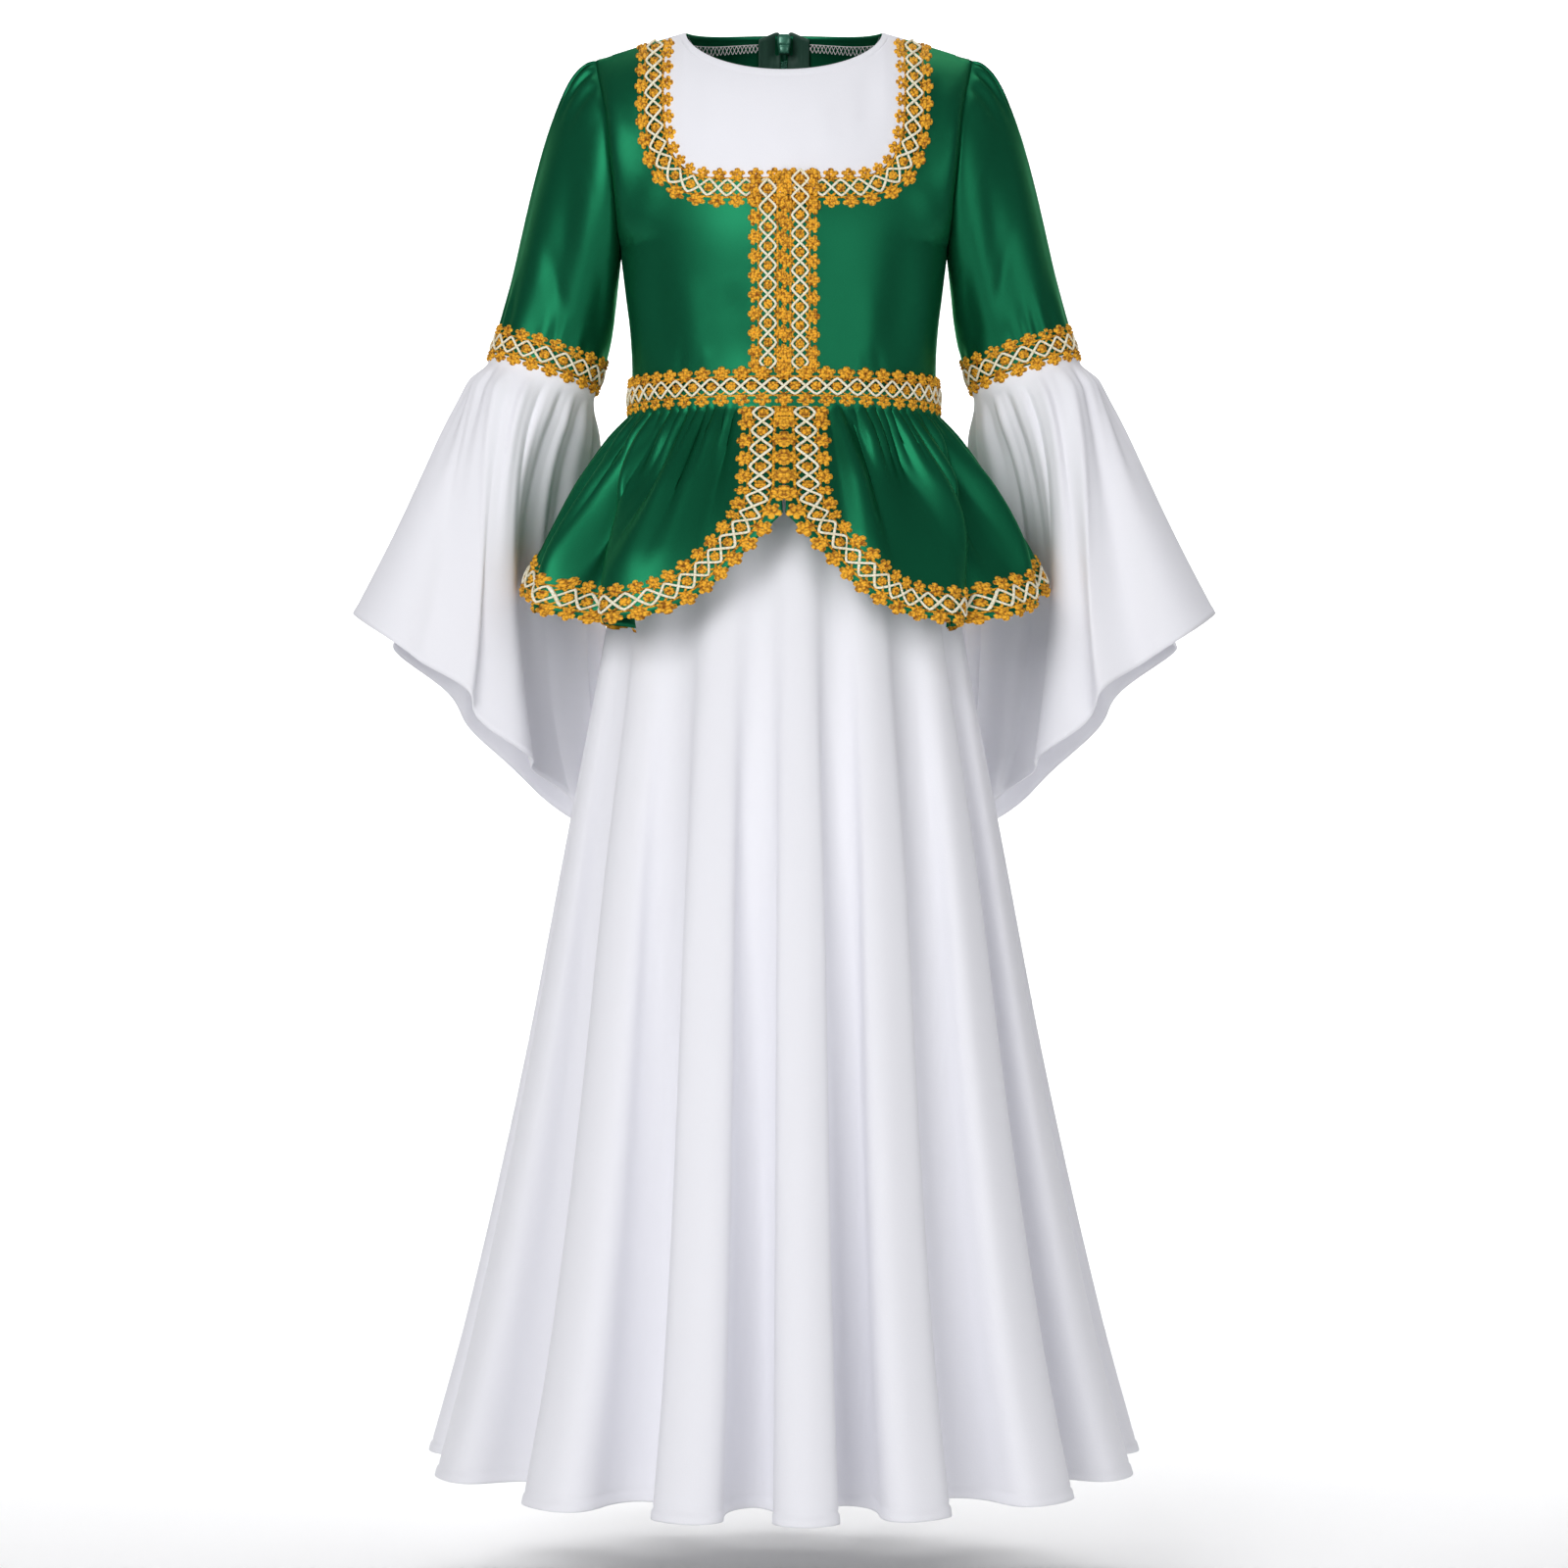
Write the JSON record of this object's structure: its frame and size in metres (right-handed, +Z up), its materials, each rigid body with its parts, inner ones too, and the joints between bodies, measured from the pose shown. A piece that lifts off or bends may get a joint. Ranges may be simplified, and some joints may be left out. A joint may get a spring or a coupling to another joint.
{
  "type": "renaissance costume",
  "caption": "Child's renaissance costume: green satin bodice and peplum with gold lace, white yoke, bell sleeves and long flared skirt, filled out as if worn.",
  "frame": {"origin": "middle of the line between the neck ends of the two shoulder seams, where the wearer's shoulders hold the garment", "axes": "+Z up, the front faces -Y, the wearer's left is +X"},
  "size_m": [0.6402, 0.5084, 1.07],
  "materials": {
    "green_satin": "glossy woven satin",
    "white_cloth": "smooth matte polyester weave",
    "gold_lace": "crocheted gold cord with a cream centre",
    "zip_tape": "woven tape with a moulded coil",
    "zip_metal": "dark green enamel"
  },
  "bodies": {
    "root": {"bodice_front_left": "green_satin", "bodice_front_right": "green_satin", "bodice_back_left": "green_satin", "bodice_back_right": "green_satin", "sleeve_upper_left": "green_satin", "sleeve_upper_right": "green_satin", "peplum_left": "green_satin", "peplum_right": "green_satin", "yoke_front": "white_cloth", "skirt_front": "white_cloth", "skirt_back_left": "white_cloth", "skirt_back_right": "white_cloth", "sleeve_flounce_left": "white_cloth", "sleeve_flounce_right": "white_cloth", "lace_neckline": "gold_lace", "lace_waist": "gold_lace", "lace_front_left": "gold_lace", "lace_front_right": "gold_lace", "lace_sleeve_left": "gold_lace", "lace_sleeve_right": "gold_lace", "lace_peplum_left": "gold_lace", "lace_peplum_right": "gold_lace", "zip_tape_left": "zip_tape", "zip_tape_right": "zip_tape", "zip_coil": "zip_tape", "zip_slider": "zip_metal", "zip_bridge": "zip_metal"},
    "zip_pull": {"zip_pull": "zip_metal"}
  },
  "joints": [
    {"name": "zip_pull_hinge", "type": "hinge", "parent": "root", "child": "zip_pull", "pos_m": [0, 0.06889, 0.00754], "axis": [1, 0, 0], "range_deg": [0, 150]}
  ]
}
